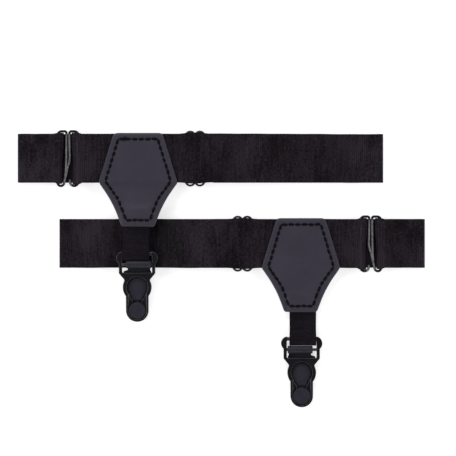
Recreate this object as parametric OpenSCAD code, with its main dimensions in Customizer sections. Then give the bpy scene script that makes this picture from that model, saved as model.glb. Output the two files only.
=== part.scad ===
// A pair of sock suspenders (calf garters), laid flat.
// Each garter is one wide elastic that loops round the calf, a leather patch, a short pendant elastic
// and a clip with a button on a rubber tongue. The two garters are mirror images of each other.
// The upper garter's patch and clip lie over the lower garter's band.

/* [Elastic band] */
// Width of the calf elastic
band_w = 25.4; // [24:0.1:26]
// Thickness of the calf elastic
band_t = 0.8; // [0.7:0.05:0.85]
// Length of the flattened loop, from its outer fold to its far fold
loop_len = 190.5; // [180:0.5:200]
// Clear space between neighbouring layers
layer_gap = 0.1; // [0.08:0.01:0.12]

/* [Layout] */
// Distance from the middle to each garter's outer fold
half_span = 106.05; // [100:0.05:112]
// Middle of the upper garter's band across the pair
upper_y = 57.3; // [56:0.1:58]
// Middle of the lower garter's band across the pair
lower_y = 13.0; // [12:0.1:14]

/* [Hook] */
// Thickness of the hook's wire
hook_wire = 1.3; // [1.1:0.05:1.3]
// Width of the hook, over both of its loops
hook_w = 12.1; // [11.8:0.1:12.5]
// Height of the hook, across the band
hook_h = 30.2; // [29.8:0.1:31]

/* [Slider] */
// Thickness of the slider's wire
slider_wire = 1.1; // [1:0.05:1.1]
// Width of the slider, along the band
slider_w = 11.0; // [10.9:0.1:11.2]
// Height of the slider, across the band
slider_h = 29.2; // [28.8:0.1:30]

/* [Leather patch] */
// Thickness of each of the two plies of leather
ply_t = 0.9; // [0.8:0.05:0.9]
// Height of the patch, from its top edge to the edge that the pendant leaves
patch_h = 48.7; // [48:0.1:49]
// Distance of the stitching from the patch's edge
stitch_inset = 3.1; // [2.5:0.1:4]
// Length of one stitch and the hole beside it
stitch_pitch = 3.2; // [2.8:0.1:4]

/* [Pendant and clip] */
// Width of the pendant elastic
pendant_w = 13.9; // [13.5:0.1:14]
// Thickness of the pendant elastic, one layer
pendant_t = 0.7; // [0.6:0.05:0.7]
// Thickness of the clip's frame
frame_t = 2.0; // [1.9:0.1:2]
// Thickness of the clip's rubber tongue
tongue_t = 1.1; // [0.9:0.05:1.1]
// Diameter of the button's head
button_d = 8.7; // [8.4:0.1:8.8]

/* [Hidden] */
$fn = 48;

// The two garters, as places in the lists below
UPPER = 0;
LOWER = 1;

// Along the band, from the outer fold: middle of the hook, of the patch and of the slider
hook_u = [26.4, 28.4];
patch_u = [62.9, 64.7];
slider_u = [92.4, 95.0];
// The pendant and the clip hang a little to the outer side of the patch's middle
pendant_u = [for (u = patch_u) u - 1.1];
clip_u = [for (u = patch_u) u - 0.5];
// The tongue's sleeve sits a little to the far side of the clip's middle
sleeve_shift = 0.8;

// Heights of the middle of each layer, from the surface that the pair lies on
z_back = band_t / 2;
z_adjuster = z_back + band_t + layer_gap;
z_return = z_adjuster + band_t + 2 * layer_gap;
z_fold = (z_adjuster + z_return) / 2;
z_outer = 2 * z_fold - z_back;
inner_fold_r = (z_return - z_adjuster) / 2;
outer_fold_r = (z_outer - z_back) / 2;
fold_u = outer_fold_r + band_t / 2;

// Each bar of the hook carries a loop of elastic, whose layers fit closely over and under it
bar_play = 0.05;
hook_loop_r = hook_wire / 2 + bar_play + band_t / 2;
z_hook = z_return + hook_loop_r;
z_over_hook = z_hook + hook_loop_r;
hook_bar_x = hook_w / 2 - hook_wire / 2;
hook_reach = 6.2;

// The elastic turns loosely on both bars: its bends stand off towards the middle of the hook
open_bulge = 1.2;
closed_bulge = 0.9;

// Layers inside the patch, from below: back ply, the tail of the front elastic, the front elastic, front ply
z_ply_back = z_adjuster + band_t / 2 + 0.15;
z_tail = z_ply_back + ply_t + bar_play + band_t / 2;
z_front = z_tail + band_t + layer_gap;
z_ply_front = z_front + band_t / 2 + bar_play;

// The running elastic weaves over the slider's side bars and under its centre bar
slider_loop_r = slider_wire / 2 + bar_play + band_t / 2;
z_slider = band_t + bar_play + slider_loop_r + band_t / 2;
z_over_slider = z_slider + slider_loop_r;
z_adjuster_over = z_over_slider + band_t + layer_gap;
z_front_high = z_adjuster_over + band_t + layer_gap;
slider_bar_x = slider_w / 2 - slider_wire / 2;
slider_y = -0.15;

// The elastic is squeezed narrower on both sides of the slider's middle, to fit between the round ends
weave_reach = 10.2;
waist_w = slider_h - slider_wire - slider_bar_x - 0.3;

// Past the slider's travel the front elastic comes down almost onto the back one
far_gap = 0.3;
z_front_far = z_back + band_t + far_gap;
far_fold_r = (z_front_far - z_back) / 2;
far_u = loop_len - far_fold_r - band_t / 2;
slope_start = 126.5;
slope_end = 143;

// The patch: its top edge lies a little past the band's edge, and it bends where it leaves the band
patch_top = 13.0;
patch_bend = 25.5;
lobe_tilt = [-5.5, 4.2];
patch_corners = [
    [12.6, 0],
    [20.4, -25.6],
    [12.9, -36.3],
    [8.4, -patch_h],
    [-8.4, -patch_h],
    [-12.9, -36.3],
    [-20.4, -25.6],
    [-12.6, 0]
];
patch_radii = [2.2, 1.4, 8, 1.4, 1.4, 8, 1.4, 2.2];
stitch_w = 0.5;
stitch_t = 0.25;
stitch_share = 0.72;

// Where the pendant leaves the patch, it bends about a line just past the patch's edge
pendant_edge = 1.0;
pendant_inside = 9;
z_pendant = (z_ply_back + ply_t + z_ply_front) / 2;
knuckle_r = pendant_t;

// The pendant turns loosely round the strap bar, and reaches almost to the tongue's sleeve
strap_bulge = 1.4;

// The clip, from its crossbar: +y towards the pendant, and its underside at z = 0
z_bar = 2.25;
z_frame = z_bar - frame_t / 2;
strap_bar_y = 5.6;
strap_bar_r = 1.0;
crossbar_r = 0.75;
window_x = 7.75;
window_y = -4.3;
ring_y = -11.9;
ring_r = 7.47;
hole_r = 5.5;
end_y = -24.05;
end_r = 5.88;
neck_slot_r = 2.5;
recess_r = 4.75;
z_recess = 2.2;
button_neck_r = 2.2;
tongue_play = 0.15;
sleeve_r = 2.0;
sleeve_w = 12.95;
tongue_pad_r = 6.3;
plug_r = hole_r - 0.35;
plug_t = 1.75;
mid_y = end_y / 2;

// Crossbar of each clip: along the band's direction, across the pair, and its height
clip_y = [2.1, -42.3];
clip_z = [4.45, z_bar];
clip_tilt = [4.35, 0];

// ---- helpers -----------------------------------------------------------------------------------

// A garter's own frame: x along the band from the outer fold, y across it, z up
module garter(g) {
    if (g == UPPER) translate([-half_span, upper_y, 0]) children();
    if (g == LOWER) translate([half_span, lower_y, 0]) mirror([1, 0, 0]) children();
}

// A band's side view, drawn in x and z, given its width
module woven(width) {
    rotate([90, 0, 0]) linear_extrude(width, center = true) children();
}

// One straight stretch of a band's side view
module stretch(a, b, t) {
    translate(a)
        rotate(atan2(b.y - a.y, b.x - a.x))
            translate([0, -t / 2]) square([norm(b - a), t]);
}

// A band's side view along a path
module band_path(path, t) {
    last = len(path) - 1;
    polygon([
        for (i = [0:last]) beside(path, i, t / 2),
        for (i = [last:-1:0]) beside(path, i, -t / 2)
    ]);
}

// A fold that turns a band back: half a ring, on the side of the centre that way gives
module band_fold(centre, r, t, way) {
    translate(centre) difference() {
        circle(r + t / 2);
        circle(r - t / 2);
        translate([way > 0 ? -2 * r - t : 0, -r - t]) square([2 * r + t, 2 * r + 2 * t]);
    }
}

// Points of a quadratic curve that rounds corner b, between a and c
function bend(a, b, c, r, n = 6) =
    let (p = b + r * (a - b) / norm(a - b), q = b + r * (c - b) / norm(c - b))
    [for (i = [0:n]) let (t = i / n) (1 - t) * (1 - t) * p + 2 * t * (1 - t) * b + t * t * q];

function before(points, i) = points[(i + len(points) - 1) % len(points)];
function after(points, i) = points[(i + 1) % len(points)];

// An outline with every corner rounded
function rounded(points, radii) =
    [for (i = [0:len(points) - 1]) each bend(before(points, i), points[i], after(points, i), radii[i])];

// The point beside place i of a path, at distance d to its right, where the moved lines meet
function right_of(a, b) = [b.y - a.y, a.x - b.x] / norm(b - a);
function corner(p, m, n, d) = p + d * (m + n) / (1 + m * n);
function beside(path, i, d) =
    let (last = len(path) - 1, a = max(i, 1), b = min(i + 1, last))
    corner(path[i], right_of(path[a - 1], path[a]), right_of(path[b - 1], path[b]), d);

// An outline that runs clockwise, moved inwards by d
function inset(points, d) =
    [for (i = [0:len(points) - 1])
        let (m = right_of(before(points, i), points[i]), n = right_of(points[i], after(points, i)))
        corner(points[i], m, n, d)];

// A straight piece of wire
module wire(a, b, d) {
    run = b - a;
    translate([a.x, a.y, 0])
        rotate([0, 90, atan2(run.y, run.x)]) cylinder(h = norm(run), d = d);
}

// A bead of coating that rounds a bend or an end of a wire
module bead(at, d) {
    translate([at.x, at.y, 0]) sphere(d = d + 0.06);
}

// A half turn of wire, open towards -y, or towards +y where up is false
module wire_turn(centre, r, d, up) {
    translate([centre.x, centre.y, 0])
        rotate(up ? 0 : 180) rotate_extrude(angle = 180) translate([r, 0]) circle(d = d);
}

// ---- calf elastic ------------------------------------------------------------------------------

// From the tail inside the patch, round the hook's open bar, and back towards the patch
module hook_loop(g) {
    bar = hook_u[g] + hook_bar_x;
    patch_edge = patch_u[g] - patch_corners[1].x;
    tail = [
        [bar - open_bulge, z_return],
        [patch_edge - 4, z_return],
        [patch_edge - 0.8, z_tail],
        [patch_u[g] - 8, z_tail]
    ];
    top = [
        [bar - open_bulge, z_over_hook],
        [bar + 3, z_over_hook],
        [bar + hook_reach, z_front]
    ];
    color([0.1, 0.09, 0.1]) garter(g) woven(band_w) {
        band_path(tail, band_t);
        band_fold([bar - open_bulge, z_hook], hook_loop_r, band_t, -1);
        band_path(top, band_t);
    }
}

// Through the patch, and on over the slider
module front_elastic(g) {
    run = [
        [hook_u[g] + hook_bar_x + hook_reach, z_front],
        [patch_u[g] + patch_corners[1].x + 0.3, z_front],
        [slider_u[g] - slider_bar_x - 1.45, z_front_high],
        [slope_start, z_front_high]
    ];
    color([0.1, 0.09, 0.1]) garter(g) woven(band_w) band_path(run, band_t);
}

// Down to the back run, and the fold that turns it back
module far_fold(g) {
    run = [
        [slope_start, z_front_high],
        [slope_end, z_front_far],
        [far_u, z_front_far]
    ];
    color([0.1, 0.09, 0.1]) garter(g) woven(band_w) {
        band_path(run, band_t);
        band_fold([far_u, (z_back + z_front_far) / 2], far_fold_r, band_t, 1);
    }
}

// The doubled end: the outer fold, the loop round the hook's closed bar, and the fold inside the first
module outer_loop(g) {
    bar = hook_u[g] - hook_bar_x;
    over = [
        [fold_u, z_outer],
        [bar - 4.5, z_outer],
        [bar - 1, z_over_hook],
        [bar + closed_bulge, z_over_hook]
    ];
    color([0.1, 0.09, 0.1]) garter(g) woven(band_w) {
        band_fold([fold_u, z_fold], outer_fold_r, band_t, -1);
        band_path(over, band_t);
        band_fold([bar + closed_bulge, z_hook], hook_loop_r, band_t, 1);
        stretch([fold_u, z_return], [bar + closed_bulge, z_return], band_t);
        band_fold([fold_u, z_fold], inner_fold_r, band_t, -1);
    }
}

// The back run, from the far fold to the slider and from the slider to the outer fold
module back_far_elastic(g) {
    color([0.1, 0.09, 0.1]) garter(g) woven(band_w)
        stretch([slider_u[g] + weave_reach, z_back], [far_u, z_back], band_t);
}

module back_near_elastic(g) {
    color([0.1, 0.09, 0.1]) garter(g) woven(band_w)
        stretch([fold_u, z_back], [slider_u[g] - weave_reach, z_back], band_t);
}

// Between them, woven over the slider's side bars and under its centre bar
module slider_weave(g) {
    u = slider_u[g];
    run = [
        [u + weave_reach, z_back],
        [u + 9.3, z_back],
        [u + 5.8, z_over_slider],
        [u + 4.5, z_over_slider],
        [u + 1.2, z_back],
        [u - 1.2, z_back],
        [u - 4.5, z_over_slider],
        [u - 5.6, z_over_slider],
        [u - 8.9, z_back],
        [u - weave_reach, z_back]
    ];
    color([0.1, 0.09, 0.1]) garter(g) translate([0, slider_y, 0]) woven(waist_w) band_path(run, band_t);
}

// The run between the inner fold and the slider, which grows as the slider moves away
module adjuster_run(g) {
    color([0.1, 0.09, 0.1]) garter(g) woven(band_w)
        stretch([fold_u, z_adjuster], [slider_u[g] - weave_reach, z_adjuster], band_t);
}

// The end of the elastic, wrapped round the slider's centre bar
module adjuster_end(g) {
    u = slider_u[g];
    run = [
        [u - weave_reach, z_adjuster],
        [u - 9.2, z_adjuster],
        [u - 5.9, z_adjuster_over],
        [u - 4.2, z_adjuster_over],
        [u, z_over_slider]
    ];
    color([0.1, 0.09, 0.1]) garter(g) translate([0, slider_y, 0]) woven(waist_w) {
        band_path(run, band_t);
        translate([u, z_slider]) difference() {
            circle(slider_loop_r + band_t / 2);
            circle(slider_loop_r - band_t / 2);
            polygon([[0, 0], [-3, 3], [-3, -1.2]]);
        }
    }
}

// Three bar tacks of thread, in a row across the wrapped end, that hold it
module adjuster_tack(g) {
    tack_l = 5;
    color([0.03, 0.03, 0.03]) garter(g)
        for (y = [-8, 0, 8])
            translate([slider_u[g] - 5.05, y + slider_y, z_adjuster_over + band_t / 2 + 0.03])
                cube([1.5, tack_l, 0.06], center = true);
}

// ---- wire hardware -----------------------------------------------------------------------------

// A figure of eight: two side bars, a centre bar and four round ends
module slider(g) {
    end_r = slider_bar_x / 2;
    end_y = slider_h / 2 - slider_wire / 2 - end_r;
    color([0.05, 0.05, 0.06]) garter(g) translate([slider_u[g], slider_y, z_slider]) {
        for (x = [-1, 0, 1])
            wire([x * slider_bar_x, -end_y], [x * slider_bar_x, end_y], slider_wire);
        for (x = [-1, 1]) {
            wire_turn([x * end_r, end_y], end_r, slider_wire, true);
            wire_turn([x * end_r, -end_y], end_r, slider_wire, false);
        }
    }
}

// One bent wire: an open hook on the patch's side, and a closed loop on the outer side
module hook(g) {
    d = hook_wire;
    inner_x = 0.75;
    top_r = (hook_bar_x - inner_x) / 2;
    top_y = hook_h / 2 - d / 2 - top_r;
    open_r = 2.2;
    open_y = -hook_h / 2 + d / 2 + open_r;
    closed_r = 1.7;
    closed_y = -hook_h / 2 + d / 2 + closed_r;
    tip = [hook_bar_x - 2 * open_r, open_y + 0.7];
    curl = [-hook_bar_x + 2 * closed_r, closed_y];
    belly = [inner_x + 0.2, 0.4];
    meet = [-0.1, -4.2];
    weld = [-1.1, -8.5];
    color([0.09, 0.09, 0.1]) garter(g) translate([hook_u[g], 0, z_hook]) {
        for (x = [-1, 1])
            wire_turn([x * (inner_x + top_r), top_y], top_r, d, true);
        wire([hook_bar_x, open_y], [hook_bar_x, top_y], d);
        wire([-hook_bar_x, closed_y], [-hook_bar_x, top_y], d);
        wire_turn([hook_bar_x - open_r, open_y], open_r, d, false);
        wire_turn([-hook_bar_x + closed_r, closed_y], closed_r, d, false);
        wire([tip.x, open_y], tip, d);
        bead(tip, d);
        for (x = [-1, 1]) bead([x * inner_x, top_y], d);
        wire([inner_x, top_y], belly, d);
        bead(belly, d);
        wire(belly, meet, d);
        bead(meet, d);
        wire(meet, curl, d);
        bead(curl, d);
        wire([-inner_x, top_y], weld, d);
        bead(weld, d);
    }
}

// ---- leather patch -----------------------------------------------------------------------------

module patch_outline(grow) {
    polygon(rounded(inset(patch_corners, -grow), patch_radii));
}

// The patch's own frame, with its origin in the middle of its top edge
module patch(g) {
    garter(g) translate([patch_u[g], patch_top, 0]) children();
}

// Carries what lies below the bend, and tilts it about the bend
module lobe(g, z) {
    translate([0, -patch_bend, z]) rotate([lobe_tilt[g], 0, 0]) translate([0, patch_bend, 0]) children();
}

module ply(g, z, grow) {
    reach = 60;
    lap = 0.15;
    translate([0, 0, z - ply_t / 2]) linear_extrude(ply_t) intersection() {
        patch_outline(grow);
        translate([-reach / 2, -patch_bend]) square([reach, reach]);
    }
    lobe(g, z) translate([0, 0, -ply_t / 2]) linear_extrude(ply_t) intersection() {
        patch_outline(grow);
        translate([-reach / 2, -patch_bend - reach + lap]) square([reach, reach]);
    }
}

module patch_front(g) {
    color([0.24, 0.23, 0.26]) patch(g) ply(g, z_ply_front + ply_t / 2, 0);
}

// The back ply stands out a little past the front one, and shows as a rim
module patch_back(g) {
    color([0.2, 0.19, 0.22]) patch(g) ply(g, z_ply_back + ply_t / 2, -0.15);
}

module stitch(at, angle, z) {
    translate([at.x, at.y, z]) rotate(angle)
        translate([-stitch_pitch * stitch_share / 2, -stitch_w / 2, 0])
            cube([stitch_pitch * stitch_share, stitch_w, stitch_t]);
}

// A row of stitches on the front ply, along each side of the inset outline
module patch_stitching(g) {
    line = inset(patch_corners, stitch_inset);
    color([0.02, 0.02, 0.02]) patch(g)
        for (i = [0:len(line) - 1]) {
            a = line[i];
            b = after(line, i);
            n = round(norm(b - a) / stitch_pitch);
            for (k = [0:n - 1]) {
                at = a + (k + 0.5) / n * (b - a);
                angle = atan2(b.y - a.y, b.x - a.x);
                if (at.y > -patch_bend) stitch(at, angle, z_ply_front + ply_t);
                else lobe(g, z_ply_front + ply_t / 2) stitch(at, angle, ply_t / 2);
            }
        }
}

// ---- pendant -----------------------------------------------------------------------------------

// Where the pendant bends, and where the clip's strap bar is, both as [y, z] across the pair
function band_y(g) = g == UPPER ? upper_y : lower_y;
function bend_point(g) =
    let (d = patch_h - patch_bend + pendant_edge, a = lobe_tilt[g])
    [band_y(g) + patch_top - patch_bend - d * cos(a), z_pendant - d * sin(a)];
function bar_point(g) =
    [clip_y[g] + strap_bar_y * cos(clip_tilt[g]), clip_z[g] + strap_bar_y * sin(clip_tilt[g])];

// The two layers, sewn flat together in between the plies, ending short of the bend
module pendant_root(g) {
    root_gap = 0.2;
    d = patch_h - patch_bend + pendant_edge - knuckle_r - root_gap;
    color([0.11, 0.1, 0.12]) patch(g) lobe(g, z_pendant)
        translate([pendant_u[g] - patch_u[g] - pendant_w / 2, -patch_bend - d, -pendant_t])
            cube([pendant_w, pendant_inside, 2 * pendant_t]);
}

// From the bend, down both layers and round the clip's strap bar
module pendant_strap(g) {
    from = bend_point(g);
    to = bar_point(g);
    length = norm(to - from);
    turn_r = strap_bar_r + 0.1 + pendant_t / 2;
    color([0.11, 0.1, 0.12])
        garter(g) translate([pendant_u[g], from.x - band_y(g), from.y])
            rotate([atan2(from.y - to.y, from.x - to.x), 0, 0]) rotate(-90) woven(pendant_w) {
                difference() {
                    circle(knuckle_r);
                    translate([0, -knuckle_r]) square(2 * knuckle_r);
                }
                for (side = [-1, 1])
                    band_path([
                        [0, side * pendant_t / 2],
                        [length - 4.5, side * pendant_t / 2],
                        [length - 1, side * turn_r],
                        [length + strap_bulge, side * turn_r]
                    ], pendant_t);
                band_fold([length + strap_bulge, 0], turn_r, pendant_t, 1);
            }
}

// ---- clip --------------------------------------------------------------------------------------

// The clip's own frame: origin on the crossbar, heights from the clip's underside
module clip(g) {
    garter(g) translate([clip_u[g], clip_y[g] - band_y(g), clip_z[g]])
        rotate([clip_tilt[g], 0, 0]) translate([0, 0, -z_bar]) children();
}

module bar(x, y, r) {
    translate([-x, y, z_bar]) rotate([0, 90, 0]) cylinder(h = 2 * x, r = r);
}

module frame_outline() {
    ear_r = 3.6;
    for (x = [-1, 1]) translate([x * (10.75 - ear_r), 3.3]) circle(ear_r);
    polygon([
        [-9.44, 3.3],
        [9.44, 3.3],
        [9.44, -4.6],
        [6.7, -7.9],
        [6.7, ring_y],
        [-6.7, ring_y],
        [-6.7, -7.9],
        [-9.44, -4.6]
    ]);
    translate([0, ring_y]) circle(ring_r);
    translate([-end_r, end_y]) square([2 * end_r, ring_y - end_y]);
    translate([0, end_y]) circle(end_r);
}

// A keyhole: the wide hole that the button enters, a funnel, and the slot that holds its neck
module keyhole() {
    translate([0, ring_y]) circle(hole_r);
    polygon([
        [-4.6, ring_y - 3],
        [4.6, ring_y - 3],
        [3.05, ring_y - 6.4],
        [-3.05, ring_y - 6.4]
    ]);
    translate([-neck_slot_r, end_y]) square([2 * neck_slot_r, ring_y - end_y]);
    translate([0, end_y]) circle(neck_slot_r);
}

// The sunk track that the button's head slides in, from the round end to the wide hole
module button_track() {
    translate([0, end_y]) circle(recess_r);
    translate([-recess_r, end_y]) square([2 * recess_r, ring_y - end_y]);
}

module clip_frame(g) {
    color([0.05, 0.05, 0.06]) clip(g) {
        difference() {
            translate([0, 0, z_frame]) linear_extrude(frame_t) frame_outline();
            translate([-window_x, window_y, 0]) cube([2 * window_x, 20, 5]);
            linear_extrude(5) keyhole();
            translate([0, 0, z_recess]) linear_extrude(5) button_track();
        }
        bar(9, strap_bar_y, strap_bar_r);
        bar(8.5, 0, crossbar_r);
    }
}

// The tongue's outline, from the sleeve down to the button
module tongue_outline() {
    polygon([
        [-5, 0],
        [6.7, 0],
        [6.7, -5],
        [5.2, ring_y],
        [4, end_y + 4.2],
        [-4, end_y + 4.2],
        [-5.2, ring_y],
        [-5, -5]
    ]);
    translate([0, ring_y]) circle(tongue_pad_r);
}

// The raised part of the tongue that fills the keyhole's wide end
module tongue_plug() {
    translate([0, ring_y]) circle(plug_r);
    polygon([
        [-4.2, ring_y - 3],
        [4.2, ring_y - 3],
        [2.7, ring_y - 6],
        [-2.7, ring_y - 6]
    ]);
}

// Half of the tongue, with its own part of the plug, between two places along it
module tongue_part(from, to) {
    linear_extrude(tongue_t) intersection() {
        tongue_outline();
        translate([-10, from]) square([20, to - from]);
    }
    linear_extrude(plug_t) intersection() {
        tongue_plug();
        translate([-10, from]) square([20, to - from]);
    }
}

// The sleeve on the crossbar and the tongue's upper half
module clip_tongue(g) {
    color([0.2, 0.2, 0.25]) clip(g) difference() {
        union() {
            translate([sleeve_shift, 0, 0]) bar(sleeve_w / 2, 0, sleeve_r);
            tongue_part(mid_y + tongue_play / 2, 2);
        }
        bar(10, 0, crossbar_r + 0.05);
    }
}

// The tongue's lower half, up to the disc under the button
module clip_tongue_tip(g) {
    color([0.2, 0.2, 0.25]) clip(g) tongue_part(end_y + 4.95, mid_y - tongue_play / 2);
}

// The button: a disc behind the frame, a neck through the slot and a low domed head
module clip_button(g) {
    disc_r = 4.2;
    head_z = z_recess + 0.1;
    head_t = 1.1;
    edge = 0.35;
    color([0.16, 0.16, 0.2]) clip(g) translate([0, end_y, 0]) {
        cylinder(h = tongue_t, r = disc_r);
        cylinder(h = head_z + 0.2, r = button_neck_r);
        rotate_extrude() polygon([
            [0, head_z],
            [button_d / 2 - edge / 2, head_z],
            [button_d / 2, head_z + edge],
            [button_d / 2 - 0.1, head_z + head_t - edge],
            [button_d / 2 - edge, head_z + head_t - 0.1],
            [0, head_z + head_t]
        ]);
    }
}

// ---- what is drawn -----------------------------------------------------------------------------

front_elastic(UPPER);  // upper_front_elastic
hook_loop(UPPER);  // upper_hook_loop
far_fold(UPPER);  // upper_far_fold
outer_loop(UPPER);  // upper_outer_loop
back_far_elastic(UPPER);  // upper_back_far_elastic
back_near_elastic(UPPER);  // upper_back_near_elastic
slider_weave(UPPER);  // upper_slider_weave
adjuster_run(UPPER);  // upper_adjuster_run
adjuster_end(UPPER);  // upper_adjuster_end
adjuster_tack(UPPER);  // upper_adjuster_tack
slider(UPPER);  // upper_slider
hook(UPPER);  // upper_hook
patch_front(UPPER);  // upper_patch_front
patch_back(UPPER);  // upper_patch_back
patch_stitching(UPPER);  // upper_patch_stitching
pendant_root(UPPER);  // upper_pendant_root
pendant_strap(UPPER);  // upper_pendant_strap
clip_frame(UPPER);  // upper_clip_frame
clip_tongue(UPPER);  // upper_clip_tongue
clip_tongue_tip(UPPER);  // upper_clip_tongue_tip
clip_button(UPPER);  // upper_clip_button
front_elastic(LOWER);  // lower_front_elastic
hook_loop(LOWER);  // lower_hook_loop
far_fold(LOWER);  // lower_far_fold
outer_loop(LOWER);  // lower_outer_loop
back_far_elastic(LOWER);  // lower_back_far_elastic
back_near_elastic(LOWER);  // lower_back_near_elastic
slider_weave(LOWER);  // lower_slider_weave
adjuster_run(LOWER);  // lower_adjuster_run
adjuster_end(LOWER);  // lower_adjuster_end
adjuster_tack(LOWER);  // lower_adjuster_tack
slider(LOWER);  // lower_slider
hook(LOWER);  // lower_hook
patch_front(LOWER);  // lower_patch_front
patch_back(LOWER);  // lower_patch_back
patch_stitching(LOWER);  // lower_patch_stitching
pendant_root(LOWER);  // lower_pendant_root
pendant_strap(LOWER);  // lower_pendant_strap
clip_frame(LOWER);  // lower_clip_frame
clip_tongue(LOWER);  // lower_clip_tongue
clip_tongue_tip(LOWER);  // lower_clip_tongue_tip
clip_button(LOWER);  // lower_clip_button
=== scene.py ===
"""A pair of sock suspenders, laid flat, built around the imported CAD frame. Lengths below are in millimetres."""

import math
import random

import bmesh
import bpy
import numpy as np
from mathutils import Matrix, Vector


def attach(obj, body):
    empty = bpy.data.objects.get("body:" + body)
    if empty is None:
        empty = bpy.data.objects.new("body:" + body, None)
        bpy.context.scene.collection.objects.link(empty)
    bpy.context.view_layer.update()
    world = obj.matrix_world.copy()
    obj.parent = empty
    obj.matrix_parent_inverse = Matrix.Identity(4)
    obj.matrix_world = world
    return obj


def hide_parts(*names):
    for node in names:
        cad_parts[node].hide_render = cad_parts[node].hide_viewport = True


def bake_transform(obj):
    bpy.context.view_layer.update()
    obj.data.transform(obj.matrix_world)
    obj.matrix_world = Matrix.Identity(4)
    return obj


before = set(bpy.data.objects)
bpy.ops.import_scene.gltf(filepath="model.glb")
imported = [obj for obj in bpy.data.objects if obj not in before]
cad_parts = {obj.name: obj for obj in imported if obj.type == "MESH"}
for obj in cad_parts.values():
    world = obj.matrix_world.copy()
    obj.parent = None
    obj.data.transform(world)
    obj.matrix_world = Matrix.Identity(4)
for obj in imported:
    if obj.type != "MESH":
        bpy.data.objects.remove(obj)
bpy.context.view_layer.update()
MM = 0.001

# ---- camera: straight down -----------------------------------------------------------------------

VIEW_W = 237.1
VIEW_X, VIEW_Y, VIEW_Z = 3.5, 21.0, 3
LENS, SENSOR = 100, 36
cam_data = bpy.data.cameras.new("camera")
cam_data.lens = LENS
cam_data.sensor_width = SENSOR
cam = bpy.data.objects.new("camera", cam_data)
cam.location = (VIEW_X * MM, VIEW_Y * MM, (VIEW_W * LENS / SENSOR + VIEW_Z) * MM)
bpy.context.scene.collection.objects.link(cam)
bpy.context.scene.camera = cam

# ---- the sizes of part.scad ----------------------------------------------------------------------

BAND_W, BAND_T = 25.4, 0.8
HALF_SPAN = 106.05
SIDES = ("upper", "lower")
BAND_Y = {"upper": 57.3, "lower": 13.0}
HOOK_U = {"upper": 26.4, "lower": 28.4}
PATCH_U = {"upper": 62.9, "lower": 64.7}
SLIDER_U = {"upper": 92.4, "lower": 95.0}
TILT = {"upper": math.radians(5.5), "lower": math.radians(-4.2)}
CLIP_Y = {"upper": 2.1, "lower": -42.3}
CLIP_Z = {"upper": 4.45, "lower": 2.25}
CLIP_TILT = {"upper": math.radians(4.35), "lower": 0.0}

Z_BACK, Z_ADJUSTER, Z_RETURN, Z_OUTER = 0.4, 1.3, 2.3, 3.2
Z_FOLD = 1.8
Z_HOOK, Z_OVER_HOOK = 3.4, 4.5
Z_TAIL, Z_FRONT, Z_FRONT_HIGH, Z_FRONT_FAR = 3.2, 4.1, 5.05, 1.5
Z_SLIDER, Z_OVER_SLIDER, Z_ADJUSTER_OVER = 2.25, 3.25, 4.15
PLY_T = 0.9
STITCH_INSET, STITCH_PITCH, THREAD_R = 3.2, 3.25, 0.66
HOOK_WIRE_R, SLIDER_WIRE_R = 0.65, 0.55
Z_MID = 3.65
FOLD_U, FAR_U = 1.8, 189.55
HOOK_BAR, HOOK_LOOP_R, HOOK_Y = 5.4, 1.1, -0.25
SLIDER_BAR, SLIDER_LOOP_R, SLIDER_Y, SLIDER_H = 4.95, 1.0, -0.15, 29.2
WEAVE_REACH, WAIST_W = 10.2, 22.85
SLOPE_START, SLOPE_END = 126.5, 143.0
PATCH_TOP, PATCH_BEND, PATCH_H = 13.0, 25.5, 48.7
CORNERS = [
    (12.6, 0), (20.4, -25.6), (12.9, -36.3), (8.4, -48.7),
    (-8.4, -48.7), (-12.9, -36.3), (-20.4, -25.6), (-12.6, 0)]
RADII = [2.2, 1.4, 8, 1.4, 1.4, 8, 1.4, 2.2]
PENDANT_W, PENDANT_T = 13.9, 0.7
Z_BAR, STRAP_BAR_Y, END_Y, RING_Y = 2.25, 5.6, -24.05, -11.9
TONGUE_T, PAD_R, PLUG_R, TONGUE_SPLIT_Y = 1.1, 6.3, 5.15, -19.4


def place(g, u, y, z):
    """A point of a garter's own frame, in the row frame, in metres."""
    if g == "upper":
        return Vector(((u - HALF_SPAN) * MM, (y + BAND_Y[g]) * MM, z * MM))
    return Vector(((HALF_SPAN - u) * MM, (y + BAND_Y[g]) * MM, z * MM))


def clip_place(g, x, y, z):
    """A point of a clip's own frame, x towards the far side, in the row frame, in metres."""
    a, h = CLIP_TILT[g], z - Z_BAR
    yy = CLIP_Y[g] + y * math.cos(a) - h * math.sin(a)
    zz = CLIP_Z[g] + y * math.sin(a) + h * math.cos(a)
    return place(g, PATCH_U[g] - 0.5 + x, yy - BAND_Y[g], zz)


def patch_place(g, x, y, z):
    """A point of a patch's own frame, y from its top edge, bent softly where it leaves the band."""
    reach = 6.0
    s = -PATCH_BEND - y
    k = min(max((s + reach) / (2 * reach), 0), 1)
    a = TILT[g]
    turn = a * k
    along = -PATCH_BEND - s
    if s <= -reach:
        return place(g, PATCH_U[g] + x, PATCH_TOP + y, z)
    n = 12
    px, pz, step = -PATCH_BEND + reach, Z_MID, (s + reach) / n
    for i in range(n):
        t = min(max(((i + 0.5) * step) / (2 * reach), 0), 1) * a
        px -= step * math.cos(t)
        pz += step * math.sin(t)
    h = z - Z_MID
    return place(g, PATCH_U[g] + x, PATCH_TOP + px + h * math.sin(turn), pz + h * math.cos(turn))


# ---- mesh helpers --------------------------------------------------------------------------------

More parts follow.
